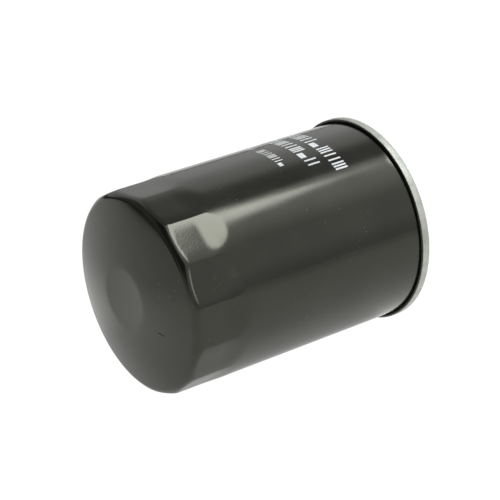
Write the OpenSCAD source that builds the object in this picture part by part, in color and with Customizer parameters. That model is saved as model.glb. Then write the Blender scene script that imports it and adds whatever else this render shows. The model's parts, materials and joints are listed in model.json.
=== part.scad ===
// Spin-on oil filter with a fifteen-flute can.
// Each module is built about Z with the gasket's sealing face on Z = 0 and the domed end up.
// The assembly is laid along X, with its origin at the start of the thread and +X leaving it.

/* [Can] */
// Outside diameter of the can's round wall
body_d = 76; // [64:0.5:92]
// Height from the underside of the rolled seam to the top of the shoulder
can_h = 104.4; // [86:0.2:126]
// Sheet thickness of the can
can_t = 0.45; // [0.35:0.05:0.6]
// Outside radius of the shoulder between the wall and the domed end
shoulder_r = 4.3; // [3:0.1:6]
// Slope of the domed end where it leaves the shoulder, in degrees
dome_slope = 16.4; // [8:0.2:20]
// Diameter of the dimple in the domed end
dimple_d = 24; // [16:0.5:28]
// Depth of the dimple
dimple_depth = 0.8; // [0.5:0.1:2]

/* [Flutes] */
// Number of flat flutes that a cap wrench grips
flute_count = 15; // [12:1:18]
// Length of each flute below the top of the shoulder, before it starts to run out
flute_len = 12.4; // [8:0.2:20]
// Length over which a flute runs out into the round wall
flute_ramp = 9.5; // [5:0.5:12]
// Width of the rounded corner between neighbouring flutes
flute_corner = 0.5; // [0.3:0.1:1.5]
// Turn of the first flute about the axis, in degrees
flute_phase = 8.9; // [0:0.1:24]

/* [Seaming lid] */
// Sheet thickness of the lid
lid_t = 0.45; // [0.35:0.05:0.6]
// Height of the rolled double seam
seam_h = 3.8; // [3.2:0.1:4.8]
// Clearance between neighbouring layers of the seam
seam_gap = 0.02; // [0.01:0.01:0.04]
// Width of the flat land between the seam and the gasket groove
land_w = 0.85; // [0.6:0.05:1.4]
// Gap inside the bead that holds the gasket's inner edge
bead_gap = 0.55; // [0.4:0.05:0.8]

/* [Gasket] */
// Radial width of the sealing gasket
gasket_w = 4.5; // [3.6:0.1:5.4]
// Height of the sealing gasket
gasket_h = 5.6; // [5:0.1:7]
// How far the gasket stands proud of the seam
gasket_stand = 1.5; // [0.8:0.1:2]
// Clearance each side of the gasket in its groove
gasket_gap = 0.05; // [0.02:0.01:0.1]

/* [Base plate] */
// Thickness of the base plate
plate_t = 3; // [2.5:0.1:4]
// Gap between the base plate's edge and the can
plate_gap = 0.65; // [0.3:0.05:1]
// Nominal diameter of the mounting thread
thread_d = 20; // [16:0.5:24]
// Pitch of the mounting thread
thread_pitch = 1.5; // [1:0.25:2]
// Height of the threaded collar above the plate
collar_h = 6; // [5:0.5:8]
// Wall of the threaded collar outside the thread's minor diameter
collar_wall = 2.6; // [2:0.1:3.2]
// Number of oil inlet holes
inlet_count = 8; // [6:1:10]
// Diameter of each oil inlet hole
inlet_d = 6.5; // [5:0.1:7.8]

/* [Anti-drain valve] */
// Wall of the rubber neck round the threaded collar
neck_t = 1.2; // [0.9:0.1:1.6]
// Clearance between the neck and the collar
neck_gap = 0.1; // [0.05:0.05:0.2]
// Thickness of the flap
flap_t = 1; // [0.8:0.1:1.3]
// Height of the flap's root above the plate
flap_rise = 2.4; // [1.8:0.1:3]
// Thickness of the top flange that the element sits on
flange_t = 1.4; // [1:0.1:2]
// Width of the lip that seals outside the inlet holes
lip_w = 2.2; // [1.5:0.1:2.6]
// Travel of the lip when oil flows in
lip_lift = 2; // [1:0.1:2.4]

/* [Filter element] */
// Gap for unfiltered oil between the element and the can
oil_gap = 4.2; // [3:0.1:6]
// Sheet thickness of the end caps
cap_t = 0.4; // [0.3:0.05:0.5]
// Height of the end caps' outer rims
cap_rim = 4; // [3:0.1:5]
// Sheet thickness of the centre tube
tube_t = 0.4; // [0.3:0.05:0.5]
// Diameter of the centre tube's holes
tube_hole_d = 4; // [3:0.1:5]
// Number of holes in each row round the centre tube
tube_hole_count = 8; // [6:2:10]
// Distance between rows of holes
tube_row_pitch = 6; // [5.5:0.1:9]
// Depth of the adhesive in each end cap
glue_h = 2.5; // [2:0.1:3.5]
// Thickness of the filter paper
paper_t = 0.5; // [0.4:0.05:0.6]
// Number of pleats
pleat_count = 60; // [44:1:66]
// Sheet thickness of the clip that joins the paper's ends
clip_t = 0.3; // [0.2:0.05:0.4]

/* [Bypass valve] */
// Depth of the recess in the upper end cap that the valve sits under
recess_depth = 4; // [3:0.1:5]
// Radial width of the seat inside the cage's wall
seat_w = 3; // [2.4:0.1:3.6]
// Thickness of the valve seat
seat_t = 0.8; // [0.6:0.1:1.2]
// Height of the seat's sealing ridge
ridge_h = 0.5; // [0.3:0.1:0.8]
// Thickness of the rubber seal disc
seal_t = 1.3; // [1:0.1:1.8]
// Thickness of the poppet's disc
poppet_t = 1.2; // [0.8:0.1:1.6]
// Diameter of the poppet's stem
stem_d = 5; // [4:0.1:6]
// Radial clearance between the stem and its guide
stem_gap = 0.08; // [0.04:0.01:0.1]
// Sheet thickness of the cage
cage_t = 0.5; // [0.4:0.05:0.6]
// Wire diameter of the bypass spring
bypass_wire = 1; // [0.8:0.1:1.2]
// Length of the bypass spring with the valve shut
bypass_spring_h = 13; // [11:0.5:16]
// Turns in the bypass spring
bypass_turns = 6; // [5:0.5:7]
// Travel of the poppet
bypass_travel = 4; // [3:0.1:4.8]

/* [Load spring] */
// Wire diameter of the load spring
load_wire = 1.8; // [1.4:0.1:2.2]
// Turns in the load spring
load_turns = 4.5; // [4:0.5:6]
// Length of the load spring between the spring plate and the domed end
load_spring_h = 17; // [14:0.5:21]
// Sheet thickness of the spring plate
spring_plate_t = 0.6; // [0.5:0.1:1]

/* [Hidden] */
$fn = 96;

paint_black = [0.03, 0.03, 0.03];
zinc = [0.72, 0.74, 0.71];
steel = [0.55, 0.55, 0.54];
spring_steel = [0.42, 0.42, 0.44];
rubber_black = [0.06, 0.06, 0.06];
rubber_red = [0.55, 0.16, 0.08];
paper_yellow = [0.86, 0.74, 0.42];
adhesive_grey = [0.45, 0.47, 0.46];

seat_gap = 0.02;        // a moving seal stands this far off its seat
eps = 1;                // a cut runs this far past the solid that it cuts
clear = 8;              // the flutes' cutters reach this far outside the can
thread_lead = 0.8;      // chamfer at the mouth of the thread
thread_share = 1.0825;  // an internal thread's minor diameter is the nominal less this many pitches
lid_hook_end = 1.4;     // height of the lid's hook end above the seam's underside
can_hook_end = 0.3;     // gap between the can's hook end and the lid's turn
land_rise = 1.9;        // rise of the lid's land above the seam's underside
bead_drop = 0.2;        // how far the retaining bead stays above the land
inlet_rim = 0.6;        // width of bare plate outside the inlet holes
flap_root = 1.2;        // width of the flap's root that stays with the neck
flap_split_gap = 0.2;   // gap between the flap's fixed root and its moving part
neck_lift = 1;          // gap between the rubber neck and the plate
neck_bore = 0.8;        // the rubber flange stops this far outside the thread
cap_bend = 0.5;         // bend radius of the end caps' sheet, at its middle
cap_neck_gap = 0.6;     // gap between the rubber neck and the lower cap's neck
cap_neck_h = 2.6;       // height of the lower cap's neck
tube_gap = 0.1;         // clearance between the caps' necks and the centre tube
row_margin = 4;         // the tube's rows of holes stay this far from the adhesive
paper_gap = 0.4;        // gap between the centre tube and the paper
pleat_gap = 0.7;        // gap between the paper and the caps' rims
paper_sink = 0.7;       // share of the adhesive's depth that the paper stands in
clip_reach = 6;         // how far the clip reaches in over its pleat
clip_gap = 0.05;        // clearance between the clip and its pleat
glue_gap = 0.02;        // clearance between the adhesive and what it bonds
seat_side_gap = 0.2;    // clearance between the seat and the recess
cage_flange_w = 2.2;    // width of the cage's flange under the seat
poppet_gap = 0.6;       // clearance between the poppet and the cage
coil_gap = 1.4;         // clearance between the stem and the bypass spring
dimple_edge = 3.5;      // radial width of the dimple's slope
dimple_clear = 1.4;     // gap between the dimple and the load spring
spring_gap = 0.15;      // clearance between the load spring and the domed end
join_drop = 6;          // the plain wall takes over this far below the flutes' run-out
flute_turn = 360 / flute_count;

// Radii, from the can's wall inwards
body_r = body_d / 2;
can_ir = body_r - can_t;
hook_pitch_out = can_t / 2 + seam_gap + lid_t / 2;
lid_hook_r = body_r + seam_gap + lid_t / 2;
can_hook_r = lid_hook_r + hook_pitch_out;
seam_wall_r = can_hook_r + hook_pitch_out;
can_wall_r = body_r - can_t / 2;
chuck_r = can_ir - seam_gap - lid_t / 2;
groove_r = chuck_r - land_w - lid_t;
gasket_or = groove_r - lid_t / 2 - gasket_gap;
gasket_ir = gasket_or - gasket_w;
bead_or = gasket_ir - gasket_gap - lid_t / 2;
bead_ir = bead_or - bead_gap - lid_t;
plate_r = can_ir - plate_gap;

// Radii, from the thread outwards
thread_r = (thread_d - thread_share * thread_pitch) / 2;
collar_r = thread_r + collar_wall;
neck_ir = collar_r + neck_gap;
neck_r = neck_ir + neck_t;
inlet_ring_r = (neck_r + bead_ir - lid_t / 2) / 2;
inlet_edge_r = inlet_ring_r + inlet_d / 2;
lid_inner_r = inlet_edge_r + inlet_rim;
lip_r = lid_inner_r + lip_w;
flap_split_r = neck_r + flap_root;
cap_neck_r = neck_r + cap_t / 2 + cap_neck_gap;
tube_ir = cap_neck_r + cap_t / 2 + tube_gap;
tube_r = tube_ir + tube_t;
cap_rim_r = can_ir - oil_gap - cap_t / 2;
paper_ir = tube_r + paper_gap;
paper_r = cap_rim_r - cap_t / 2 - pleat_gap;

// Heights of the base end
seam_z = gasket_stand;
seam_top_z = seam_z + seam_h;
lid_z = gasket_h + lid_t / 2;
plate_z = gasket_h + lid_t;
plate_top_z = plate_z + plate_t;
collar_top_z = plate_top_z + collar_h;
cap_low_z = collar_top_z + flange_t;

// Heights of the domed end
shoulder_z = seam_z + can_h;
shoulder_centre = [body_r - shoulder_r, shoulder_z - shoulder_r];
dome_r = shoulder_centre[0] / sin(dome_slope) + shoulder_r;
dome_centre_z = shoulder_centre[1] - (dome_r - shoulder_r) * cos(dome_slope);
dome_edge_r = shoulder_centre[0] + shoulder_r * sin(dome_slope);
dimple_r = dimple_d / 2;
dimple_floor_r = dimple_r - dimple_edge;
flute_r = body_r * cos(flute_turn / 2 - flute_corner / 2 / body_r * 180 / PI);
flute_end_z = shoulder_z - flute_len;
join_z = flute_end_z - flute_ramp - join_drop;

// Heights of the element and the springs
load_coil_r = dimple_r + load_wire / 2 + dimple_clear;
load_top_z = dome_z(load_coil_r + load_wire / 2) - can_t - spring_gap;
load_low_z = load_top_z - load_spring_h;
cap_top_z = load_low_z - spring_plate_t;
glue_low_z = cap_low_z + cap_t;
glue_top_z = cap_top_z - cap_t;
paper_low_z = glue_low_z + glue_h * (1 - paper_sink);
paper_top_z = glue_top_z - glue_h * (1 - paper_sink);
seat_top_z = cap_top_z - recess_depth;
seat_low_z = seat_top_z - seat_t;
seat_r = cap_neck_r - cap_t / 2 - seat_side_gap;
cage_r = seat_r - cage_flange_w;
seat_hole_r = cage_r - seat_w;
seal_z = seat_low_z - ridge_h - seat_gap;
poppet_z = seal_z - seal_t;
cage_floor_z = poppet_z - poppet_t - bypass_spring_h;
bypass_coil_r = stem_d / 2 + coil_gap + bypass_wire / 2;
poppet_r = cage_r - cage_t / 2 - poppet_gap;

// Points along an arc about c, from angle a to angle b.
function arc(c, r, a, b, n) =
    [for (i = [0:n]) c + polar(r, a + (b - a) * i / n)];

function polar(r, a) = r * [cos(a), sin(a)];

function unit(v) = v / norm(v);

// The fillet that rounds corner b of the path a, b, c.
function corner(a, b, c, r, n) =
    let (
        u = unit(a - b),
        v = unit(c - b),
        half = acos(u * v) / 2,
        d = min(r / tan(half), 0.49 * norm(a - b), 0.49 * norm(c - b)),
        round_r = d * tan(half),
        centre = b + unit(u + v) * round_r / sin(half),
        from = b + u * d - centre,
        to = b + v * d - centre,
        start = atan2(from[1], from[0]),
        sweep = (atan2(to[1], to[0]) - start + 540) % 360 - 180
    )
    arc(centre, round_r, start, start + sweep, n);

// A path with each inner corner rounded.
function rounded(path, r, n = 5) =
    [for (i = [0:len(path) - 1])
        each (i == 0 || i == len(path) - 1) ? [path[i]] : corner(path[i - 1], path[i], path[i + 1], r, n)];

function left_normal(a, b) = let (d = unit(b - a)) [-d[1], d[0]];

// A path moved sideways by d, with mitred corners.
function shifted(path, d) =
    [for (i = [0:len(path) - 1])
        let (
            before = left_normal(path[max(i - 1, 0)], path[max(i, 1)]),
            after = left_normal(path[min(i, len(path) - 2)], path[min(i + 1, len(path) - 1)])
        )
        path[i] + d * (before + after) / (1 + before * after)];

function reversed(list) = [for (i = [len(list) - 1:-1:0]) list[i]];

// The outline of a sheet of thickness t whose middle follows the path.
function sheet(path, t) = concat(shifted(path, t / 2), reversed(shifted(path, -t / 2)));

// A sheet-metal pressing turned about Z.
module pressing(path, t, bend_r) {
    rotate_extrude() polygon(sheet(rounded(path, bend_r), t));
}

// A ring of rectangular section.
module ring(inner_r, outer_r, low_z, high_z) {
    translate([0, 0, low_z])
        difference() {
            cylinder(r = outer_r, h = high_z - low_z);
            translate([0, 0, -eps]) cylinder(r = inner_r, h = high_z - low_z + 2 * eps);
        }
}

// Height of the domed end's outside at radius r, with its dimple.
function dimple_dip(r) =
    r >= dimple_r ? 0 :
    r <= dimple_floor_r ? dimple_depth :
    dimple_depth * (1 + cos(180 * (r - dimple_floor_r) / (dimple_r - dimple_floor_r))) / 2;
function dome_z(r) = dome_centre_z + sqrt(dome_r * dome_r - r * r) - dimple_dip(r);

// The can's outside from low_z up over the domed end to the axis, moved inwards by d.
function can_outline(d, low_z) = concat(
    [[0, low_z], [body_r - d, low_z]],
    arc(shoulder_centre, shoulder_r - d, 0, 90 - dome_slope, 8),
    [for (i = [1:6]) let (r = dome_edge_r + (dimple_r - dome_edge_r) * i / 6) [r, dome_z(r) - d]],
    [for (i = [1:6]) let (r = dimple_r + (dimple_floor_r - dimple_r) * i / 6) [r, dome_z(r) - d]],
    [[0, dome_z(0) - d]]
);

// Wedges that cut the flutes, each a flat that ramps out to the round wall.
module flute_cutters(flat_r, wall_r) {
    top_z = shoulder_z + 2 * clear;
    ramp = [flute_ramp, wall_r - flat_r];
    past = 1.2;    // the ramp goes on by this share outside the wall
    for (i = [0:flute_count - 1])
        rotate([90, 0, flute_phase + i * flute_turn])
            linear_extrude(height = body_r, center = true)
                polygon([
                    [flat_r, top_z],
                    [flat_r, flute_end_z],
                    [flat_r + ramp[1] * past, flute_end_z - ramp[0] * past],
                    [body_r + clear, flute_end_z - ramp[0] * past],
                    [body_r + clear, top_z]
                ]);
}

module fluted_solid(d, low_z) {
    difference() {
        rotate_extrude() polygon(can_outline(d, low_z));
        flute_cutters(flute_r - d, body_r - d);
    }
}

// Deep-drawn can: fluted domed end, round wall and the hook that the lid is rolled round.
module can() {
    hook_low_z = seam_z + lid_t + seam_gap + can_t / 2;
    hook_top_z = seam_top_z - lid_t - can_hook_end;
    turn_r = (can_hook_r - can_wall_r) / 2;
    color(paint_black) {
        difference() {
            fluted_solid(0, join_z);
            fluted_solid(can_t, join_z - eps);
        }
        pressing([
            [can_hook_r, hook_top_z],
            [can_hook_r, hook_low_z],
            [can_wall_r, hook_low_z],
            [can_wall_r, join_z]
        ], can_t, turn_r);
    }
}

// Zinc-plated lid: rolled seam, land, gasket groove, retaining bead and welding flange.
module seaming_lid() {
    land_z = seam_z + lid_t / 2 + land_rise;
    bead_z = land_z + bead_drop;
    color(zinc)
        pressing([
            [lid_hook_r, seam_z + lid_hook_end],
            [lid_hook_r, seam_top_z - lid_t / 2],
            [seam_wall_r, seam_top_z - lid_t / 2],
            [seam_wall_r, seam_z + lid_t / 2],
            [chuck_r, seam_z + lid_t / 2],
            [chuck_r, land_z],
            [groove_r, land_z],
            [groove_r, lid_z],
            [bead_or, lid_z],
            [bead_or, bead_z],
            [bead_ir, bead_z],
            [bead_ir, lid_z],
            [lid_inner_r, lid_z]
        ], lid_t, hook_pitch_out);
}

// Sealing compound left in the two pockets at the ends of the hooks.
module seam_sealant() {
    side_gap = 0.045;
    turn_gap = 0.16;    // the can's turn curves up this far beside the compound
    low_z = seam_z + lid_t + 2 * seam_gap + can_t + turn_gap;
    high_z = seam_top_z - lid_t - can_hook_end + seam_gap;
    lid_half_w = lid_t / 2 - side_gap;
    can_half_w = can_t / 2 - side_gap;
    color(adhesive_grey) {
        ring(lid_hook_r - lid_half_w, lid_hook_r + lid_half_w, low_z, seam_z + lid_hook_end - seam_gap);
        ring(can_hook_r - can_half_w, can_hook_r + can_half_w, high_z, high_z + can_hook_end * 0.4);
    }
}

// Square-section rubber ring that seals against the engine.
module sealing_gasket() {
    edge = 0.4;
    foot = 0.8;
    color(rubber_black)
        rotate_extrude() polygon([
            [gasket_ir + edge, 0],
            [gasket_or - edge, 0],
            [gasket_or, edge],
            [gasket_or, gasket_h - foot],
            [gasket_or - foot, gasket_h],
            [gasket_ir + foot, gasket_h],
            [gasket_ir, gasket_h - foot],
            [gasket_ir, edge]
        ]);
}

// Thick plate with the threaded collar and the ring of oil inlet holes.
module base_plate() {
    edge = 0.4;
    root = 0.8;
    color(steel)
        difference() {
            rotate_extrude() polygon(concat(
                [[thread_r + thread_lead, plate_z], [thread_r, plate_z + thread_lead],
                 [thread_r, collar_top_z - edge], [thread_r + edge, collar_top_z],
                 [collar_r - edge, collar_top_z], [collar_r, collar_top_z - edge]],
                arc([collar_r + root, plate_top_z + root], root, 180, 270, 4),
                [[plate_r - edge, plate_top_z], [plate_r, plate_top_z - edge],
                 [plate_r, plate_z + edge], [plate_r - edge, plate_z]]
            ));
            for (i = [0:inlet_count - 1])
                rotate([0, 0, (i + 0.5) * 360 / inlet_count])
                    translate([inlet_ring_r, 0, plate_z - eps])
                        cylinder(d = inlet_d, h = plate_t + 2 * eps);
        }
}

// Height of the flap's underside at radius r.
function flap_z(r) =
    plate_top_z + seat_gap + flap_rise * max(0, (lid_inner_r - r) / (lid_inner_r - neck_r));

// Fixed part of the rubber anti-drain valve: neck, top flange and the root of the flap.
module anti_drain_collar() {
    neck_low_z = plate_top_z + neck_lift;
    web = 0.6;    // the flap's root thickens by this much at the neck
    color(rubber_red)
        rotate_extrude() polygon([
            [neck_ir, neck_low_z],
            [neck_r, neck_low_z],
            [neck_r, flap_z(neck_r)],
            [flap_split_r, flap_z(flap_split_r)],
            [flap_split_r, flap_z(flap_split_r) + flap_t],
            [neck_r, flap_z(neck_r) + flap_t + web],
            [neck_r, collar_top_z + flange_t],
            [thread_r + neck_bore, collar_top_z + flange_t],
            [thread_r + neck_bore, collar_top_z],
            [neck_ir, collar_top_z]
        ]);
}

// Moving part of the anti-drain valve: the flap and the lip that covers the inlet holes.
module anti_drain_lip() {
    inner_r = flap_split_r + flap_split_gap;
    edge_t = flap_t * 0.7;    // the lip thins to this at its edge
    color(rubber_red)
        rotate_extrude() polygon([
            [inner_r, flap_z(inner_r)],
            [lid_inner_r, plate_top_z + seat_gap],
            [lip_r, plate_top_z + seat_gap],
            [lip_r, plate_top_z + seat_gap + edge_t],
            [lid_inner_r, plate_top_z + seat_gap + flap_t],
            [inner_r, flap_z(inner_r) + flap_t]
        ]);
}

// End cap at the threaded end, with a neck inside the centre tube.
module lower_end_cap() {
    mid_z = cap_low_z + cap_t / 2;
    color(steel)
        pressing([
            [cap_neck_r, mid_z + cap_neck_h],
            [cap_neck_r, mid_z],
            [cap_rim_r, mid_z],
            [cap_rim_r, cap_low_z + cap_rim]
        ], cap_t, cap_bend);
}

// End cap at the domed end, with a recess for the bypass valve.
module upper_end_cap() {
    mid_z = cap_top_z - cap_t / 2;
    recess_z = seat_top_z + cap_t / 2;
    color(steel)
        pressing([
            [cap_rim_r, cap_top_z - cap_rim],
            [cap_rim_r, mid_z],
            [cap_neck_r, mid_z],
            [cap_neck_r, recess_z],
            [seat_hole_r, recess_z]
        ], cap_t, cap_bend);
}

// Outline of the pleats: radial walls joined by a fold at each tip and each root.
// grow moves every wall outwards from the paper's middle.
function pleat_outline(root_r, tip_r, grow) =
    let (half = 90 / pleat_count, tip = grow / tip_r * 180 / PI, root = grow / root_r * 180 / PI)
    [for (i = [0:pleat_count - 1])
        let (a = 4 * half * i)
        each [
            polar(tip_r, a - half - tip),
            polar(tip_r, a + half + tip),
            polar(root_r, a + half + root),
            polar(root_r, a + 3 * half - root)
        ]];

module paper_section() {
    difference() {
        polygon(pleat_outline(paper_ir + paper_t, paper_r, paper_t / 2));
        polygon(pleat_outline(paper_ir, paper_r - paper_t, -paper_t / 2));
    }
}

module filter_paper() {
    color(paper_yellow)
        translate([0, 0, paper_low_z])
            linear_extrude(height = paper_top_z - paper_low_z) paper_section();
}

// Folded steel strip that clamps the two ends of the paper together.
module clip_section() {
    half_w = paper_r * sin(90 / pleat_count) + paper_t / 2 + clip_gap;
    outer_r = paper_r + 2 * clip_gap;
    polygon(sheet([
        [outer_r - clip_reach, half_w + clip_t / 2],
        [outer_r + clip_t / 2, half_w + clip_t / 2],
        [outer_r + clip_t / 2, -half_w - clip_t / 2],
        [outer_r - clip_reach, -half_w - clip_t / 2]
    ], clip_t));
}

module pleat_clip() {
    color(steel)
        translate([0, 0, paper_low_z])
            linear_extrude(height = paper_top_z - paper_low_z) clip_section();
}

// Adhesive cast round the paper's end in an end cap, from the cap's sheet at z upwards.
module adhesive() {
    inner_r = tube_r + glue_gap;
    outer_r = cap_rim_r - cap_t / 2 - glue_gap;
    bend = cap_bend - cap_t / 2 + glue_gap;
    difference() {
        rotate_extrude() polygon([
            [inner_r, 0],
            [outer_r - bend, 0],
            [outer_r, bend],
            [outer_r, glue_h],
            [inner_r, glue_h]
        ]);
        translate([0, 0, paper_low_z - glue_low_z])
            linear_extrude(height = glue_h) {
                paper_section();
                clip_section();
            }
    }
}

module lower_adhesive() {
    color(adhesive_grey) translate([0, 0, glue_low_z]) adhesive();
}

module upper_adhesive() {
    color(adhesive_grey) translate([0, 0, glue_top_z]) mirror([0, 0, 1]) adhesive();
}

// Perforated tube that carries the paper, with staggered rows of holes.
module centre_tube() {
    first_z = glue_low_z + glue_h + row_margin;
    rows = floor((glue_top_z - glue_h - row_margin - first_z) / tube_row_pitch);
    color(steel)
        difference() {
            ring(tube_ir, tube_r, glue_low_z, glue_top_z);
            for (row = [0:rows], i = [0:tube_hole_count - 1])
                rotate([0, 0, (i + (row % 2) / 2) * 360 / tube_hole_count])
                    translate([tube_ir - eps, 0, first_z + row * tube_row_pitch])
                        rotate([0, 90, 0]) cylinder(d = tube_hole_d, h = tube_t + 2 * eps);
        }
}

// Ring under the upper end cap's recess, with a ridge that the seal closes on.
module bypass_seat() {
    slope = 0.4;
    crest = 0.6;
    color(steel)
        rotate_extrude() polygon([
            [seat_hole_r, seat_top_z],
            [seat_hole_r, seat_low_z],
            [seat_hole_r + slope, seat_low_z - ridge_h],
            [seat_hole_r + slope + crest, seat_low_z - ridge_h],
            [seat_hole_r + 2 * slope + crest, seat_low_z],
            [seat_r, seat_low_z],
            [seat_r, seat_top_z]
        ]);
}

// Cup that holds the bypass spring and guides the stem, with side windows for the oil.
module bypass_cage() {
    sill = 1;
    window_h = bypass_spring_h * 0.6;
    window_w = cage_r * 0.75;
    bend = 0.6;
    color(steel)
        difference() {
            pressing([
                [seat_r, seat_low_z - cage_t / 2],
                [cage_r, seat_low_z - cage_t / 2],
                [cage_r, cage_floor_z - cage_t / 2],
                [stem_d / 2 + stem_gap, cage_floor_z - cage_t / 2]
            ], cage_t, bend);
            for (a = [0:60:120])
                translate([0, 0, cage_floor_z + window_h / 2 + sill])
                    rotate([0, 0, a]) cube([4 * cage_r, window_w, window_h], center = true);
        }
}

// Steel disc and stem that the bypass spring pushes up.
module bypass_poppet() {
    stem_out = 2.5;    // the stem comes this far out of the cage's floor
    stem_low_z = cage_floor_z - cage_t - stem_out;
    color(zinc) {
        translate([0, 0, poppet_z - poppet_t]) cylinder(r = poppet_r, h = poppet_t);
        translate([0, 0, stem_low_z]) cylinder(d = stem_d, h = poppet_z - poppet_t / 2 - stem_low_z);
    }
}

// Rubber disc on the poppet.
module bypass_seal() {
    inset = 0.3;
    color(rubber_black)
        translate([0, 0, poppet_z]) cylinder(r = poppet_r - inset, h = seal_t);
}

// Height of a coil's middle after a share s of its turns: the end turns lie closed.
function coil_z(s, turns, height, wire) =
    let (
        dead = wire * 1.04,    // pitch of the closed end turns
        t = s * turns,
        rise = (height - wire - 2 * dead) / (turns - 2)
    )
    wire / 2 + dead * min(t, 1) + rise * max(0, min(t - 1, turns - 2)) + dead * max(0, t - turns + 1);

// A helical compression spring standing on Z = 0.
module coil_spring(mean_r, wire, turns, height, steps = 20, sides = 8) {
    count = ceil(turns * steps);
    points = [for (i = [0:count], k = [0:sides - 1])
        let (
            s = i / count,
            a = 360 * turns * s,
            b = 360 * k / sides,
            r = mean_r + wire / 2 * cos(b)
        )
        [r * cos(a), r * sin(a), coil_z(s, turns, height, wire) + wire / 2 * sin(b)]];
    skin = [for (i = [0:count - 1], k = [0:sides - 1])
        let (n = (k + 1) % sides)
        each [
            [i * sides + k, i * sides + n, (i + 1) * sides + n],
            [i * sides + k, (i + 1) * sides + n, (i + 1) * sides + k]
        ]];
    start = [for (k = [1:sides - 2]) [0, k + 1, k]];
    last = count * sides;
    end = [for (k = [1:sides - 2]) [last, last + k, last + k + 1]];
    polyhedron(points = points, faces = concat(skin, start, end));
}

module bypass_spring() {
    color(spring_steel)
        translate([0, 0, cage_floor_z])
            coil_spring(bypass_coil_r, bypass_wire, bypass_turns, bypass_spring_h);
}

// Dished washer that seats the load spring on the upper end cap.
module spring_plate() {
    rim_w = 1.6;
    pilot_gap = 0.2;
    pilot_h = 2;
    bend = 0.5;
    mid_z = cap_top_z + spring_plate_t / 2;
    pilot_r = load_coil_r - load_wire / 2 - pilot_gap - spring_plate_t / 2;
    color(zinc)
        pressing([
            [load_coil_r + load_wire / 2 + rim_w, mid_z],
            [pilot_r, mid_z],
            [pilot_r, mid_z + pilot_h]
        ], spring_plate_t, bend);
}

// Spring between the domed end and the element.
module load_spring() {
    color(spring_steel)
        translate([0, 0, load_low_z])
            coil_spring(load_coil_r, load_wire, load_turns, load_spring_h);
}

// Lays a module along X, with the start of the thread at the origin.
module laid() {
    translate([plate_z + thread_lead, 0, 0]) rotate([0, -90, 0]) children();
}

laid() can();
laid() seaming_lid();
laid() seam_sealant();
laid() sealing_gasket();
laid() base_plate();
laid() anti_drain_collar();
laid() anti_drain_lip();
laid() lower_end_cap();
laid() lower_adhesive();
laid() centre_tube();
laid() filter_paper();
laid() pleat_clip();
laid() upper_adhesive();
laid() upper_end_cap();
laid() bypass_seat();
laid() bypass_cage();
laid() bypass_poppet();
laid() bypass_seal();
laid() bypass_spring();
laid() spring_plate();
laid() load_spring();
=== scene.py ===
"""Spin-on oil filter: detailed pieces, finishes, floor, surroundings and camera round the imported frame."""

import json
import math

import bmesh
import bpy
from bpy.props import FloatProperty, FloatVectorProperty, IntProperty, PointerProperty
from bpy.types import Operator, Panel, PropertyGroup
from mathutils import Matrix, Vector


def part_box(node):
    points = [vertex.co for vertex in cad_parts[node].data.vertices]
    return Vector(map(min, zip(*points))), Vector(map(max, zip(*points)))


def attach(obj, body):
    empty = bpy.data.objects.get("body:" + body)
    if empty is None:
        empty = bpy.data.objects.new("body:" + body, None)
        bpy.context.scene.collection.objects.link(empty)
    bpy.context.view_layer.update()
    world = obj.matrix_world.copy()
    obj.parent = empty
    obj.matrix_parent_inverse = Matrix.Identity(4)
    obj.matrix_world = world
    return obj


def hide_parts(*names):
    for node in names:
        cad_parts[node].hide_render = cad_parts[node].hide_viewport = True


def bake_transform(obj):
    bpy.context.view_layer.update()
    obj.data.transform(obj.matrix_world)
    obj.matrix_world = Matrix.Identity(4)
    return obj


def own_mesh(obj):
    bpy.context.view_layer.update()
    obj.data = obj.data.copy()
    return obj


bl_info = {
    "name": "Spin-on oil filter",
    "version": (1, 0, 0),
    "blender": (4, 5, 0),
    "location": "3D View > Sidebar > Oil filter",
    "description": "Builds a spin-on oil filter round its packed frame",
    "category": "Add Mesh",
}

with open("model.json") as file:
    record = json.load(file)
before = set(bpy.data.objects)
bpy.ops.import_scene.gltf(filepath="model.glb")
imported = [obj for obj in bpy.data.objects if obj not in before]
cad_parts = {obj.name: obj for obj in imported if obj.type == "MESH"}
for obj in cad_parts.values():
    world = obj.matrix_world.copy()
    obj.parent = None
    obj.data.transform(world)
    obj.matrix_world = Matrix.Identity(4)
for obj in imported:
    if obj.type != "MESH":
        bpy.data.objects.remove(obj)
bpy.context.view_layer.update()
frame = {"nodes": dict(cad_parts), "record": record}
MM = 0.001
GASKET_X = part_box("sealing_gasket")[1].x
SEAM_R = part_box("seaming_lid")[1].z
SEAM_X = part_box("seaming_lid")[1].x
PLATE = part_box("base_plate")
TURN = 2 * math.pi
ON_AXIS = 1e-6
MERGE_GAP = 1e-7


def length(name, value, text):
    """A size in metres that the sidebar shows."""
    return FloatProperty(name=name, default=value * MM, description=text, subtype="DISTANCE", unit="LENGTH")


def colour(name, value, text):
    """A linear colour that the sidebar shows."""
    return FloatVectorProperty(
        name=name, default=value, description=text, subtype="COLOR", size=3, min=0, max=1
    )


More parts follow.
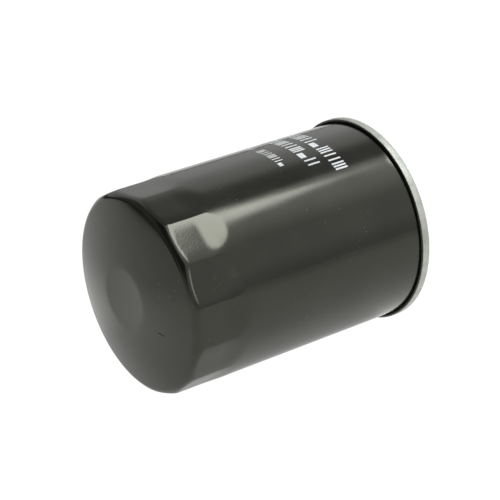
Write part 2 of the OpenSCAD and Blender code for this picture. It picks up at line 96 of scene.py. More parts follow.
class FilterSizes(PropertyGroup):
    """Sizes of the filter's visible pieces."""

    body_r: length("Body radius", 38, "Outside radius of the can's round wall")
    can_t: length("Can sheet", 0.45, "Sheet thickness of the can")
    shoulder_top: length("Shoulder top", 105.9, "Height of the shoulder's top above the gasket's face")
    shoulder_r: length("Shoulder radius", 4.3, "Outside radius of the shoulder")
    dome_slope: FloatProperty(
        name="Dome slope", default=math.radians(16.4), subtype="ANGLE", unit="ROTATION",
        description="Slope of the domed end where it leaves the shoulder",
    )
    dimple_r: length("Dimple radius", 12, "Radius of the shallow dish in the domed end")
    dish_drop: length("Dish drop", 0.2, "Drop of the dish from its rim to its middle")
    dish_blend: length("Dish blend", 0.1, "How softly the dish meets the domed end")
    flute_count: IntProperty(name="Flutes", default=15, min=12, max=18, description="Number of flutes")
    flute_phase: FloatProperty(
        name="Flute turn", default=math.radians(8.9), subtype="ANGLE", unit="ROTATION",
        description="Turn of the first flute about the axis",
    )
    flute_depth: length("Flute depth", 0.78, "Depth of a flute's middle below the round wall")
    flute_end: length("Flute end", 93.5, "Height at which a flute starts to run out")
    flute_blend: length("Flute blend", 0.65, "How softly a flute's edges are rounded")
    flute_ramp: length("Flute run-out", 9.5, "Length over which a flute runs out")
    can_hook: length("Can hook", 2.3, "Height of the can's hook inside the seam")
    lid_t: length("Lid sheet", 0.45, "Sheet thickness of the seaming lid")
    seam_h: length("Seam height", 3.8, "Height of the rolled seam")
    seam_bend: length("Seam bend", 0.6, "Largest bend radius of the lid's sheet")
    hook_end: length("Hook end", 1.4, "Height of the lid's hook end above the seam's underside")
    # Height of a black band at the seam's top that takes the can's gloss black finish.
    seam_black_band_reach: length("Paint on the seam", 0.4, "How far the can's paint comes down over the seam")
    land_w: length("Land", 0.85, "Width of the land between the seam and the gasket")
    land_rise: length("Land rise", 1.9, "Rise of the land above the seam's underside")
    bead_gap: length("Bead gap", 0.55, "Gap inside the bead that holds the gasket")
    bead_drop: length("Bead drop", 0.2, "How far the bead stays above the land")
    weld_r: length("Weld radius", 1.5, "Radius of a spot weld")
    weld_depth: length("Weld depth", 0.26, "Depth of a spot weld's dent")
    weld_count: IntProperty(name="Welds", default=8, min=4, max=12, description="Number of spot welds")
    gasket_w: length("Gasket width", 4.5, "Radial width of the sealing gasket")
    gasket_gap: length("Gasket gap", 0.05, "Clearance each side of the gasket")
    plate_t: length("Plate", 3, "Thickness of the base plate")
    plate_edge: length("Plate edge", 0.4, "Chamfer round the base plate")
    collar_r: length("Collar radius", 11.788, "Outside radius of the threaded collar")
    collar_root: length("Collar root", 0.8, "Fillet between the collar and the plate")
    neck_t: length("Neck wall", 1.2, "Wall of the diaphragm's neck round the collar")
    flap_rise: length("Flap rise", 2.4, "Height of the flap's root above the plate")
    flap_t: length("Flap", 1, "Thickness of the diaphragm's flap")
    spring_wire: length("Bypass wire", 1, "Wire diameter of the bypass spring")
    spring_turns: IntProperty(
        name="Bypass turns", default=6, min=4, max=10, description="Turns in the bypass spring"
    )
    spring_keep: FloatProperty(
        name="Bypass keep", default=0.692, description="Share of its length the spring keeps when open"
    )
    thread_r: length("Thread radius", 10, "Major radius of the mounting thread")
    thread_pitch: length("Thread pitch", 1.5, "Pitch of the mounting thread")
    inlet_r: length("Inlet radius", 3.25, "Radius of each oil inlet hole")
    inlet_ring_r: length("Inlet ring", 21.41, "Radius of the ring of inlet holes")
    inlet_rim: length("Inlet rim", 0.6, "Width of bare plate outside the inlet holes")
    inlet_count: IntProperty(name="Inlets", default=8, min=6, max=10, description="Number of inlet holes")


class FilterColours(PropertyGroup):
    """Colours of the filter's finishes."""

    paint: colour("Paint", (0.0045, 0.0048, 0.004), "Gloss black paint")
    print: colour("Print", (0.66, 0.69, 0.70), "White printed marks")
    zinc: colour("Zinc", (0.45, 0.47, 0.43), "Bright zinc plate")
    steel: colour("Steel", (0.50, 0.50, 0.49), "Oiled pressed steel")
    tin: colour("Tinned steel", (0.66, 0.66, 0.64), "Tinned sheet of the element")
    spring: colour("Spring wire", (0.30, 0.30, 0.31), "Drawn spring wire")
    nitrile: colour("Nitrile", (0.022, 0.022, 0.022), "Black nitrile rubber")
    silicone: colour("Silicone", (0.42, 0.09, 0.035), "Red silicone rubber")
    paper: colour("Paper", (0.72, 0.56, 0.26), "Resin-treated filter paper")
    adhesive: colour("Adhesive", (0.30, 0.32, 0.31), "Cured adhesive")


def sizes():
    """The sizes that the sidebar shows."""
    return bpy.context.scene.filter_sizes


def colours():
    """The colours that the sidebar shows."""
    return bpy.context.scene.filter_colours


# Materials


def new_group(name, inputs, outputs):
    """An empty shader group with its sockets. Each input is (name, default)."""
    tree = bpy.data.node_groups.new(name, "ShaderNodeTree")
    for label, default in inputs:
        socket = tree.interface.new_socket(label, in_out="INPUT", socket_type="NodeSocketFloat")
        socket.default_value = default
    for label, kind in outputs:
        tree.interface.new_socket(label, in_out="OUTPUT", socket_type=kind)
    return tree, tree.nodes.new("NodeGroupInput"), tree.nodes.new("NodeGroupOutput")


def noise(tree, scale, detail=3.0, source=None):
    """A noise texture on Object coordinates, or on another vector."""
    node = tree.nodes.new("ShaderNodeTexNoise")
    node.inputs["Detail"].default_value = detail
    if source is None:
        source = tree.nodes.new("ShaderNodeTexCoord").outputs["Object"]
    tree.links.new(source, node.inputs["Vector"])
    if isinstance(scale, (int, float)):
        node.inputs["Scale"].default_value = scale
    else:
        tree.links.new(scale, node.inputs["Scale"])
    return node.outputs["Fac"]


def spread(tree, value, low, high, out_low=0.0, out_high=1.0):
    """Maps a value's range onto another, with smooth ends."""
    node = tree.nodes.new("ShaderNodeMapRange")
    node.interpolation_type = "SMOOTHSTEP"
    tree.links.new(value, node.inputs["Value"])
    for socket, amount in zip(("From Min", "From Max", "To Min", "To Max"), (low, high, out_low, out_high)):
        if isinstance(amount, (int, float)):
            node.inputs[socket].default_value = amount
        else:
            tree.links.new(amount, node.inputs[socket])
    return node.outputs["Result"]


def relief_group():
    """Height and normal of a fine uneven surface: orange peel, rolling grain or moulding texture."""
    made = bpy.data.node_groups.get("Fine relief")
    if made:
        return made
    tree, given, put = new_group(
        "Fine relief", [("Scale", 800.0), ("Height", 0.00002)], [("Normal", "NodeSocketVector")]
    )
    height = noise(tree, given.outputs["Scale"], 2.0)
    bump = tree.nodes.new("ShaderNodeBump")
    tree.links.new(height, bump.inputs["Height"])
    tree.links.new(given.outputs["Height"], bump.inputs["Distance"])
    tree.links.new(bump.outputs["Normal"], put.inputs["Normal"])
    return tree


def mottle_group():
    """A slow mask and a value from the same noise, which vary colour and roughness over a surface."""
    made = bpy.data.node_groups.get("Mottle")
    if made:
        return made
    tree, given, put = new_group(
        "Mottle",
        [("Scale", 60.0), ("Low", 0.0), ("High", 1.0)],
        [("Value", "NodeSocketFloat"), ("Mask", "NodeSocketFloat")],
    )
    slow = noise(tree, given.outputs["Scale"], 4.0)
    mask = spread(tree, slow, 0.35, 0.7)
    value = spread(tree, slow, 0.3, 0.75, given.outputs["Low"], given.outputs["High"])
    tree.links.new(value, put.inputs["Value"])
    tree.links.new(mask, put.inputs["Mask"])
    return tree


def use_group(tree, group, **values):
    """Places a shader group with its own values."""
    node = tree.nodes.new("ShaderNodeGroup")
    node.node_tree = group
    for name, amount in values.items():
        node.inputs[name].default_value = amount
    return node


def tinted(tree, mask, first, second):
    """A colour that goes from first to second with a mask."""
    node = tree.nodes.new("ShaderNodeMix")
    node.data_type = "RGBA"
    node.inputs["A"].default_value = (*first, 1)
    node.inputs["B"].default_value = (*second, 1)
    tree.links.new(mask, node.inputs["Factor"])
    return node.outputs["Result"]


DUST = {"Scale": 900.0, "Start": 0.72}
DUST_FULL = 0.84
DUST_PATCHES = 45.0


def dust_group():
    """A mask of sparse small specks, in patches."""
    made = bpy.data.node_groups.get("Dust")
    if made:
        return made
    tree, given, put = new_group("Dust", list(DUST.items()), [("Mask", "NodeSocketFloat")])
    where = tree.nodes.new("ShaderNodeTexCoord").outputs["Object"]
    fine = noise(tree, given.outputs["Scale"], 1.0, where)
    patchy = spread(tree, noise(tree, DUST_PATCHES, 2.0, where), 0.45, 0.7)
    mask = joined(tree, "MULTIPLY", spread(tree, fine, given.outputs["Start"], DUST_FULL), patchy)
    tree.links.new(mask, put.inputs["Mask"])
    return tree


def finish(name, base, other, metallic, rough, relief, mottle_scale, dust=None, **constants):
    """A finish whose colour goes between two tones and whose roughness varies between two values.

    relief is (features per metre, height in metres). constants are sockets of the shader.
    """
    material = bpy.data.materials.new(name)
    material.use_nodes = True
    tree = material.node_tree
    shader = tree.nodes["Principled BSDF"]
    shader.inputs["Metallic"].default_value = metallic
    for label, amount in constants.items():
        shader.inputs[label.replace("_", " ")].default_value = amount
    mottle = use_group(tree, mottle_group(), Scale=mottle_scale, Low=rough[0], High=rough[1])
    tree.links.new(mottle.outputs["Value"], shader.inputs["Roughness"])
    tone = tinted(tree, mottle.outputs["Mask"], base, other)
    if dust:
        specks = use_group(tree, dust_group(), **DUST)
        over = tree.nodes.new("ShaderNodeMix")
        over.data_type = "RGBA"
        over.inputs["B"].default_value = (*dust, 1)
        tree.links.new(specks.outputs["Mask"], over.inputs["Factor"])
        tree.links.new(tone, over.inputs["A"])
        tone = over.outputs["Result"]
    tree.links.new(tone, shader.inputs["Base Color"])
    fine = use_group(tree, relief_group(), Scale=relief[0], Height=relief[1])
    tree.links.new(fine.outputs["Normal"], shader.inputs["Normal"])
    return material


def lighter(rgb, amount):
    """A colour made lighter, or darker where amount is under 1."""
    return tuple(min(1.0, c * amount) for c in rgb)


# Each finish by its slot or piece: name, colour, second tone as a multiple of the colour, metallic,
# lowest and highest roughness, relief as (features per metre, height in metres), and blotches per metre.
FINISH_VALUES = {
    "can_paint": ("Gloss black paint", "paint", 1.9, 0.0, (0.07, 0.13), (1800, 0.000013), 60),
    "print": ("White print", "print", 0.85, 0.0, (0.35, 0.5), (3000, 0.000004), 900),
    "scratch": ("Dull scratch", "paint", 1.5, 0.0, (0.6, 0.8), (3000, 0.00001), 900),
    "zinc_sheet": ("Bright zinc plate", "zinc", 0.86, 1.0, (0.57, 0.71), (900, 0.000006), 240),
    "plate_steel": ("Oiled pressed steel", "steel", 0.75, 1.0, (0.28, 0.45), (500, 0.00002), 120),
    "cap_steel": ("Tinned sheet", "tin", 0.85, 1.0, (0.2, 0.34), (900, 0.000006), 150),
    "spring_steel": ("Spring wire", "spring", 0.7, 1.0, (0.25, 0.4), (2500, 0.000008), 300),
    "black_rubber": ("Black nitrile rubber", "nitrile", 1.5, 0.0, (0.45, 0.6), (2500, 0.00001), 200),
    "red_rubber": ("Red silicone rubber", "silicone", 0.8, 0.0, (0.4, 0.55), (1800, 0.000015), 150),
    "paper": ("Filter paper", "paper", 0.88, 0.0, (0.85, 0.95), (1500, 0.00006), 400),
    "adhesive": ("Cured adhesive", "adhesive", 0.8, 0.0, (0.4, 0.55), (700, 0.00004), 200),
}
FINISH_EXTRAS = {
    "can_paint": {"dust": (0.2, 0.2, 0.18), "Specular_Tint": (0.97, 1, 0.84, 1)},
    "scratch": {"Specular_IOR_Level": 0.12},
}
FINISHES = {}


def make_finishes():
    """Makes every finish from its values and the sidebar's colours."""
    for key, (name, tone, second, metallic, rough, relief, blotches) in FINISH_VALUES.items():
        base = getattr(colours(), tone)
        extras = FINISH_EXTRAS.get(key, {})
        FINISHES[key] = finish(name, base, lighter(base, second), metallic, rough, relief, blotches, **extras)


# Meshes


def place(r, h):
    """The point at radius r and height h above the gasket's face, straight up from the axis."""
    return Vector((GASKET_X - h, 0, r))


def arc(centre, radius, start, end, count):
    """Points (r, h) on an arc about centre, from angle start to end in degrees."""
    turns = [math.radians(start + (end - start) * i / count) for i in range(count + 1)]
    return [(centre[0] + radius * math.cos(t), centre[1] + radius * math.sin(t)) for t in turns]


def steps(a, b, count):
    """Points from one point to another, without the first."""
    shares = [i / count for i in range(1, count + 1)]
    return [(a[0] + (b[0] - a[0]) * t, a[1] + (b[1] - a[1]) * t) for t in shares]


def turned(outline, count, closed=False):
    """A bmesh spun about the axis from an outline of points (r, h)."""
    bm = bmesh.new()
    verts = [bm.verts.new(place(r, h)) for r, h in outline]
    edges = [bm.edges.new(pair) for pair in zip(verts, verts[1:])]
    if closed:
        edges.append(bm.edges.new((verts[-1], verts[0])))
    bmesh.ops.spin(
        bm, geom=verts + edges, cent=(0, 0, 0), axis=(1, 0, 0), angle=TURN, steps=count, use_merge=True
    )
    bmesh.ops.remove_doubles(bm, verts=bm.verts, dist=MERGE_GAP)
    bmesh.ops.recalc_face_normals(bm, faces=bm.faces)
    return bm


FILLET_SHARE = 0.48
FILLET_FULLNESS = 1.3


def filleted(outline, radius, count=4, closed=False):
    """An outline with every inner corner rounded to radius, or to less where a side is short."""
    out = []
    last = len(outline)
    for i, corner in enumerate(outline):
        if not closed and i in (0, last - 1):
            out.append(corner)
            continue
        b = Vector(corner)
        u = Vector(outline[i - 1]) - b
        v = Vector(outline[(i + 1) % last]) - b
        half = u.angle(v) / 2
        reach = min(radius / math.tan(half), FILLET_SHARE * u.length, FILLET_SHARE * v.length)
        for k in range(count + 1):
            t = k / count
            p, q = b + u.normalized() * reach, b + v.normalized() * reach
            w = math.sin(math.pi * t / 2) ** 2
            blend = (1 - w) * p + w * q
            pull = 2 * t * (1 - t) * (1 - math.sin(half)) * FILLET_FULLNESS
            point = blend + (b - blend) * pull
            out.append((point.x, point.y))
    return out


def sheet_outline(path, thickness, radius, count=4):
    """The closed outline of a sheet whose middle follows a path with rounded corners."""
    middle = [Vector(p) for p in filleted(path, radius, count)]
    sides = []
    for i, point in enumerate(middle):
        before = (point - middle[max(i - 1, 0)]) if i else (middle[1] - point)
        after = (middle[i + 1] - point) if i < len(middle) - 1 else (point - middle[i - 1])
        n1 = Vector((-before.y, before.x)).normalized()
        n2 = Vector((-after.y, after.x)).normalized()
        sides.append((n1 + n2) / (1 + n1.dot(n2)) * thickness / 2)
    left = [tuple(p + s) for p, s in zip(middle, sides)]
    right = [tuple(p - s) for p, s in zip(middle, sides)]
    return left + right[::-1]


def finish_piece(bm, name, material, replaced=(), body="filter", sharp=35):
    """Makes the object of a bmesh, gives it its finish and hangs it on its body."""
    mesh = bpy.data.meshes.new(name)
    bm.to_mesh(mesh)
    bm.free()
    obj = bpy.data.objects.new(name, mesh)
    bpy.context.scene.collection.objects.link(obj)
    mesh.materials.append(material)
    mesh.shade_smooth()
    mesh.set_sharp_from_angle(angle=math.radians(sharp))
    if replaced:
        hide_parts(*replaced)
    if body:
        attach(obj, body)
    return obj


def smaller(a, b, blend):
    """The smaller of two values, rounded where they are near each other."""
    near = max(blend - abs(a - b), 0) / blend
    return min(a, b) - near * near * blend / 4


def dome_form(s):
    """The shoulder's centre (r, h), and the radius and the centre height of the domed end's sphere."""
    centre = (s.body_r - s.shoulder_r, s.shoulder_top - s.shoulder_r)
    dome_r = centre[0] / math.sin(s.dome_slope) + s.shoulder_r
    return centre, dome_r, centre[1] - (dome_r - s.shoulder_r) * math.cos(s.dome_slope)


class FILTER_OT_can(Operator):
    """Builds the painted can: domed end, dimple, flutes, round wall and seam hook"""

    bl_idname = "filter.can"
    bl_label = "Can"

    def execute(self, context):
        s = sizes()
        half_t = s.can_t / 2
        wall_r = s.body_r - half_t
        centre, dome_r, dome_h = dome_form(s)
        edge_r = centre[0] + (s.shoulder_r - half_t) * math.sin(s.dome_slope)

        def dome(r):
            plain = dome_h + math.sqrt((dome_r - half_t) ** 2 - r * r)
            edge = dome_h + math.sqrt((dome_r - half_t) ** 2 - s.dimple_r**2)
            dish = edge - s.dish_drop * (1 - (r / s.dimple_r) ** 2)
            return (r, smaller(plain, dish, s.dish_blend))

        hook_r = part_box("can")[1].z - half_t
        hook_low = GASKET_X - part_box("can")[1].x + half_t
        turn = (hook_r - wall_r) / 2
        run_out = s.flute_end - s.flute_ramp
        close_from, cut_from = run_out - 4 * MM, run_out - 3 * MM
        wall_rows, flute_rows, bend_rows, dome_rows, dish_rows, columns = 14, 44, 20, 14, 18, 20
        outline = [(hook_r, hook_low + s.can_hook)]
        outline += arc((wall_r + turn, hook_low + turn), turn, 0, -180, 8)
        outline += steps((wall_r, hook_low + turn), (wall_r, close_from), wall_rows)
        outline += steps(outline[-1], (wall_r, centre[1] - 1 * MM), flute_rows)
        outline += arc(centre, s.shoulder_r - half_t, -6, 90 - math.degrees(s.dome_slope), bend_rows)[1:]
        outline += [dome(r) for r, _ in steps((edge_r, 0), (s.dimple_r, 0), dome_rows)]
        outline += [dome(r) for r, _ in steps((s.dimple_r, 0), (0, 0), dish_rows)]
        bm = turned(outline, s.flute_count * columns)
        half_turn = math.pi / s.flute_count
        bmesh.ops.rotate(
            bm, verts=bm.verts, cent=(0, 0, 0), matrix=Matrix.Rotation(-s.flute_phase - half_turn, 3, "X")
        )
        flat_r = s.body_r - s.flute_depth - half_t
        over, crowding = 0.2 * MM, 1.5
        for v in bm.verts:
            r = math.hypot(v.co.y, v.co.z)
            if r < ON_AXIS:
                continue
            turned_by = math.atan2(v.co.y, v.co.z) - s.flute_phase
            middle = round(turned_by / (2 * half_turn)) * 2 * half_turn
            share = (turned_by - middle) / half_turn
            share = math.copysign(1 - (1 - min(abs(share), 1)) ** crowding, share)
            h = GASKET_X - v.co.x
            past = max(s.flute_end - h, 0) / s.flute_ramp
            flat = flat_r + (s.flute_depth + over) * past * past
            if h > cut_from:
                r = smaller(r, flat / math.cos(share * half_turn), s.flute_blend)
            angle = s.flute_phase + middle + share * half_turn
            v.co.y, v.co.z = r * math.sin(angle), r * math.cos(angle)
        can = finish_piece(bm, "painted_can", FINISHES["can_paint"], ["can"], sharp=50)
        wall = can.modifiers.new("Sheet", "SOLIDIFY")
        wall.thickness, wall.offset, wall.use_even_offset = s.can_t, 0, True
        return {"FINISHED"}


class FILTER_OT_seaming_lid(Operator):
    """Builds the zinc-plated lid with its rolled double seam, gasket groove, bead and spot welds"""

    bl_idname = "filter.seaming_lid"
    bl_label = "Seaming lid"

    def execute(self, context):
        s = sizes()
        t, gap = s.lid_t, 0.02 * MM
        bend_steps, flange_rows, columns, crispness = 6, 12, 360, 1.8
        outer = SEAM_R - t / 2
        seam_h = GASKET_X - SEAM_X
        top_h = seam_h + s.seam_h
        hook = s.body_r + gap + t / 2
        chuck = s.body_r - s.can_t - gap - t / 2
        groove = chuck - s.land_w - t
        panel_h = GASKET_X - PLATE[1].x - t / 2
        bead_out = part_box("sealing_gasket")[1].z - s.gasket_w - s.gasket_gap - t / 2
        bead_in = bead_out - s.bead_gap - t
        land_h = seam_h + t / 2 + s.land_rise
        bead_h = land_h + s.bead_drop
        path = [
            (hook, seam_h + s.hook_end), (hook, top_h - t / 2), (outer, top_h - t / 2),
            (outer, seam_h + t / 2), (chuck, seam_h + t / 2), (chuck, land_h), (groove, land_h),
            (groove, panel_h), (bead_out, panel_h), (bead_out, bead_h), (bead_in, bead_h), (bead_in, panel_h),
            (s.inlet_ring_r + s.inlet_r + s.inlet_rim, panel_h),
        ]
        sheet = sheet_outline(path, t, s.seam_bend, bend_steps)
        half = len(sheet) // 2
        flange = steps(sheet[half - 2], sheet[half - 1], flange_rows)
        under = steps(sheet[half], sheet[half + 1], flange_rows)
        sheet[half - 1 : half + 1] = flange + [sheet[half]] + under[:-1]
        bm = turned(sheet, columns, closed=True)
        weld_r = (bead_in + path[-1][0]) / 2
        for v in bm.verts:
            h, radius = GASKET_X - v.co.x, math.hypot(v.co.y, v.co.z)
            if radius > bead_in - t or h > panel_h:
                continue
            turn = math.atan2(v.co.y, v.co.z) * s.weld_count / TURN
            off = (turn - round(turn)) * TURN / s.weld_count * radius
            inside = 1 - min(math.hypot(off, radius - weld_r) / s.weld_r, 1)
            near = min(crispness * inside, 1)
            v.co.x -= s.weld_depth * near * near * (3 - 2 * near)
        lid = finish_piece(
            bm, "rolled_seam_lid", FINISHES["zinc_sheet"], ["seaming_lid"], sharp=40
        )
        lid.data.materials.append(FINISHES["can_paint"])
        # Faces in the seam's top band, outside the can's wall, take the can's gloss black finish.
        for face in lid.data.polygons:
            middle = face.center
            high = GASKET_X - middle.x > top_h - s.seam_black_band_reach
            if high and math.hypot(middle.y, middle.z) > s.body_r:
                face.material_index = 1
        return {"FINISHED"}


def loop(bm, radius, h, count, centre=(0, 0)):
    """A ring of vertices at height h, round the axis or round a centre (y, z)."""
    turns = [TURN * i / count for i in range(count)]
    return [
        bm.verts.new((GASKET_X - h, centre[0] + radius * math.sin(t), centre[1] + radius * math.cos(t)))
        for t in turns
    ]


def bridge(bm, first, second):
    """Faces between two rings of the same count."""
    for i in range(len(first)):
        bm.faces.new((first[i - 1], first[i], second[i], second[i - 1]))


def edges_of(bm, ring):
    """The edges round a ring, new where there are none."""
    pairs = [(ring[i - 1], ring[i]) for i in range(len(ring))]
    return [bm.edges.get(pair) or bm.edges.new(pair) for pair in pairs]


def ribbon(bm, pairs):
    """Faces between pairs of vertices that follow each other."""
    for (a, b), (c, d) in zip(pairs, pairs[1:]):
        bm.faces.new((a, c, d, b))


# Depth, half crest and flank of the thread, as shares of its pitch.
THREAD_DEPTH, THREAD_CREST, THREAD_FLANK = 0.541, 0.12, 0.26


class FILTER_OT_base_plate(Operator):
    """Builds the thick plate with its oil inlet holes and the collar with its helical thread"""

    bl_idname = "filter.base_plate"
    bl_label = "Base plate"

    def execute(self, context):
        s = sizes()
        under, rim_r = GASKET_X - PLATE[1].x, PLATE[1].z
        top, collar_top = under + s.plate_t, GASKET_X - PLATE[0].x
        major, minor = s.thread_r, s.thread_r - THREAD_DEPTH * s.thread_pitch
        count, hole_count, pitch_rows = 192, 48, 16
        edge, burr, root = s.plate_edge, s.plate_edge / 2, s.collar_root
        bm = bmesh.new()
        rim = [(rim_r - edge, under), (rim_r, under + edge), (rim_r, top - edge), (rim_r - edge, top)]
        collar = arc((s.collar_r + root, top + root), root, 270, 180, 6)
        collar += [(s.collar_r, collar_top - edge), (s.collar_r - edge, collar_top), (major, collar_top)]
        rim_loops = [loop(bm, radius, h, count) for radius, h in rim]
        collar_loops = [loop(bm, radius, h, count) for radius, h in collar]
        rows = round((collar_top - under) / s.thread_pitch * pitch_rows)
        thread_loops = []
        for i in range(1, rows + 1):
            h = collar_top - (collar_top - under) * i / rows
            ring = loop(bm, major, h, count)
            lead = max(major - min(h - under, collar_top - h), minor)
            for k, v in enumerate(ring):
                phase = (h / s.thread_pitch + k / count) % 1
                flank = max(0, min(1, (abs(phase - 0.5) - THREAD_CREST) / THREAD_FLANK))
                groove = minor + (major - minor) * flank * flank * (3 - 2 * flank)
                size = max(groove, lead) / major
                v.co.y, v.co.z = v.co.y * size, v.co.z * size
            thread_loops.append(ring)
        for chain in (rim_loops, collar_loops + thread_loops):
            for first, second in zip(chain, chain[1:]):
                bridge(bm, first, second)
        low = edges_of(bm, rim_loops[0]) + edges_of(bm, thread_loops[-1])
        high = edges_of(bm, rim_loops[-1]) + edges_of(bm, collar_loops[0])
        for i in range(s.inlet_count):
            turn = (i + 0.5) * TURN / s.inlet_count
            centre = (s.inlet_ring_r * math.sin(turn), s.inlet_ring_r * math.cos(turn))
            wide, narrow = s.inlet_r + burr, s.inlet_r
            wall = ((wide, under), (narrow, under + burr), (narrow, top - burr), (wide, top))
            holes = [loop(bm, radius, h, hole_count, centre) for radius, h in wall]
            for first, second in zip(holes, holes[1:]):
                bridge(bm, first, second)
            low += edges_of(bm, holes[0])
            high += edges_of(bm, holes[-1])
        for edges in (low, high):
            bmesh.ops.triangle_fill(bm, use_beauty=True, use_dissolve=False, edges=edges, normal=(1, 0, 0))
        bmesh.ops.recalc_face_normals(bm, faces=bm.faces)
        finish_piece(
            bm, "threaded_base_plate", FINISHES["plate_steel"], ["base_plate"], sharp=32
        )
        return {"FINISHED"}


class FILTER_OT_rubber(Operator):
    """Builds the sealing gasket and the one-piece anti-drain diaphragm"""

    bl_idname = "filter.rubber"
    bl_label = "Gasket and diaphragm"

    def execute(self, context):
        s = sizes()
        low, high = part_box("sealing_gasket")
        outer, height = high.z, high.x - low.x
        inner = outer - s.gasket_w
        edge, foot, nick_w, nick_d = 0.4 * MM, 0.8 * MM, 0.35 * MM, 0.18 * MM
        nick = outer - s.gasket_w * 0.5
        ring = [
            (inner + edge, 0), (nick - nick_w, 0), (nick, nick_d), (nick + nick_w, 0),
            (outer - edge, 0), (outer, edge), (outer, height - foot), (outer - foot, height),
            (inner + foot, height), (inner, height - foot), (inner, edge),
        ]
        columns = 200
        bm = turned(filleted(ring, 0.25 * MM, 4, closed=True), columns, closed=True)
        finish_piece(
            bm, "moulded_gasket", FINISHES["black_rubber"], ["sealing_gasket"], sharp=60
        )
        plate_top = GASKET_X - PLATE[1].x + s.plate_t + 0.02 * MM
        flange_low = GASKET_X - PLATE[0].x
        flange_top = GASKET_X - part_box("anti_drain_collar")[0].x
        neck_in = s.collar_r + 0.1 * MM
        neck = neck_in + s.neck_t
        lip_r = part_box("anti_drain_lip")[1].z
        round_r = lip_r - 0.1 * MM
        seat_r = s.inlet_ring_r + s.inlet_r + s.inlet_rim
        root = plate_top + s.flap_rise
        outline = [
            (s.thread_r, flange_top), (s.thread_r, flange_low), (neck_in, flange_low),
            (neck_in, root + 0.05 * MM), (neck, root), (seat_r, plate_top), (round_r, plate_top),
            (lip_r, plate_top + 0.3 * MM), (round_r, plate_top + 0.7 * MM), (seat_r, plate_top + s.flap_t),
            (neck + 2 * MM, root + 0.8 * s.flap_t), (neck, root + s.flap_t + 1.1 * MM), (neck, flange_top),
        ]
        bm = turned(filleted(outline, 0.3 * MM, 5, closed=True), columns, closed=True)
        flap = finish_piece(
            bm, "anti_drain_diaphragm", FINISHES["red_rubber"],
            ["anti_drain_collar", "anti_drain_lip"], body=None, sharp=60,
        )
        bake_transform(flap)
        return {"FINISHED"}


class FILTER_OT_bypass_spring(Operator):
    """Builds the bypass valve's spring with closed ends"""

    bl_idname = "filter.bypass_spring"
    bl_label = "Bypass spring"

    def execute(self, context):
        low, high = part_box("bypass_spring")
        s = sizes()
        wire, turns, per_turn, sides, closing = s.spring_wire, s.spring_turns, 36, 12, 1.04
        height = high.x - low.x
        mean_r = high.z - wire / 2
        pitch = wire * closing
        rise = (height - wire - 2 * pitch) / (turns - 2)
        bm = bmesh.new()
        rings = []
        for i in range(int(turns * per_turn) + 1):
            t = i / per_turn
            first, last = min(t, 1), max(0, t - turns + 1)
            h = wire / 2 + pitch * (first + last) + rise * max(0, min(t - 1, turns - 2))
            ring = []
            for k in range(sides):
                b = TURN * k / sides
                radius = mean_r + wire / 2 * math.cos(b)
                x = high.x - h - wire / 2 * math.sin(b)
                ring.append(bm.verts.new((x, radius * math.sin(TURN * t), radius * math.cos(TURN * t))))
            rings.append(ring)
        for first, second in zip(rings, rings[1:]):
            bridge(bm, first, second)
        bm.faces.new(rings[0])
        bm.faces.new(rings[-1])
        bmesh.ops.recalc_face_normals(bm, faces=bm.faces)
        spring = finish_piece(
            bm, "bypass_coil", FINISHES["spring_steel"], ["bypass_spring"], sharp=50
        )
        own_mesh(spring)
        return {"FINISHED"}


# Rows of printed marks: low and high edge, first angle, pitch, width and stroke, in mm and degrees, and
# the marks: a number of ticks, b for a block.
ROWS = (
    (23.6, 29.0, -27.0, 4.75, 3.4, 0.75, "323b232b"),
    (32.4, 37.6, -18.5, 4.6, 3.2, 0.75, "2b32323"),
    (44.1, 47.7, -12.5, 3.2, 2.1, 0.45, "b2323 232"),
)


PRINT_LIFT = 0.015 * MM
SCRATCH_LIFT = 0.012 * MM


class FILTER_OT_printed_marks(Operator):
    """Builds three rows of plain marks on the can: groups of ticks and small blocks, no lettering"""

    bl_idname = "filter.printed_marks"
    bl_label = "Printed marks"

    def execute(self, context):
        radius = sizes().body_r + PRINT_LIFT
        bm = bmesh.new()
        for low, high, turn, pitch, width, stroke, marks in ROWS:
            low, high = low * MM, high * MM
            for i, mark in enumerate(marks):
                start = math.radians(turn) + pitch * MM * i / radius
                if mark == "b":
                    self.patch(bm, ((low + high) / 2, high, start, start + width * MM / radius), radius)
                elif mark != " ":
                    count = int(mark)
                    for k in range(count):
                        tick = start + (width - stroke) * MM * k / (count - 1) / radius
                        self.patch(bm, (low, high, tick, tick + stroke * MM / radius), radius)
        bmesh.ops.recalc_face_normals(bm, faces=bm.faces)
        finish_piece(bm, "printed_marks", FINISHES["print"], sharp=60)
        return {"FINISHED"}

    def patch(self, bm, box, radius):
        """A piece of the cylinder between two heights and two angles."""
        low, high, start, end = box
        count = max(1, round((end - start) * radius / (0.4 * MM)))
        pairs = []
        for i in range(count + 1):
            t = start + (end - start) * i / count
            y, z = radius * math.sin(t), radius * math.cos(t)
            pairs.append([bm.verts.new((GASKET_X - h, y, z)) for h in (low, high)])
        ribbon(bm, pairs)


# Middle line (y, z) and half width, in mm, of the scratch on the domed end.
SCRATCH = (
    (-19.0, -5.5, 0.03), (-19.7, -5.3, 0.13), (-20.6, -5.22, 0.2), (-21.6, -5.26, 0.17),
    (-22.5, -5.42, 0.12), (-23.3, -5.62, 0.03),
)


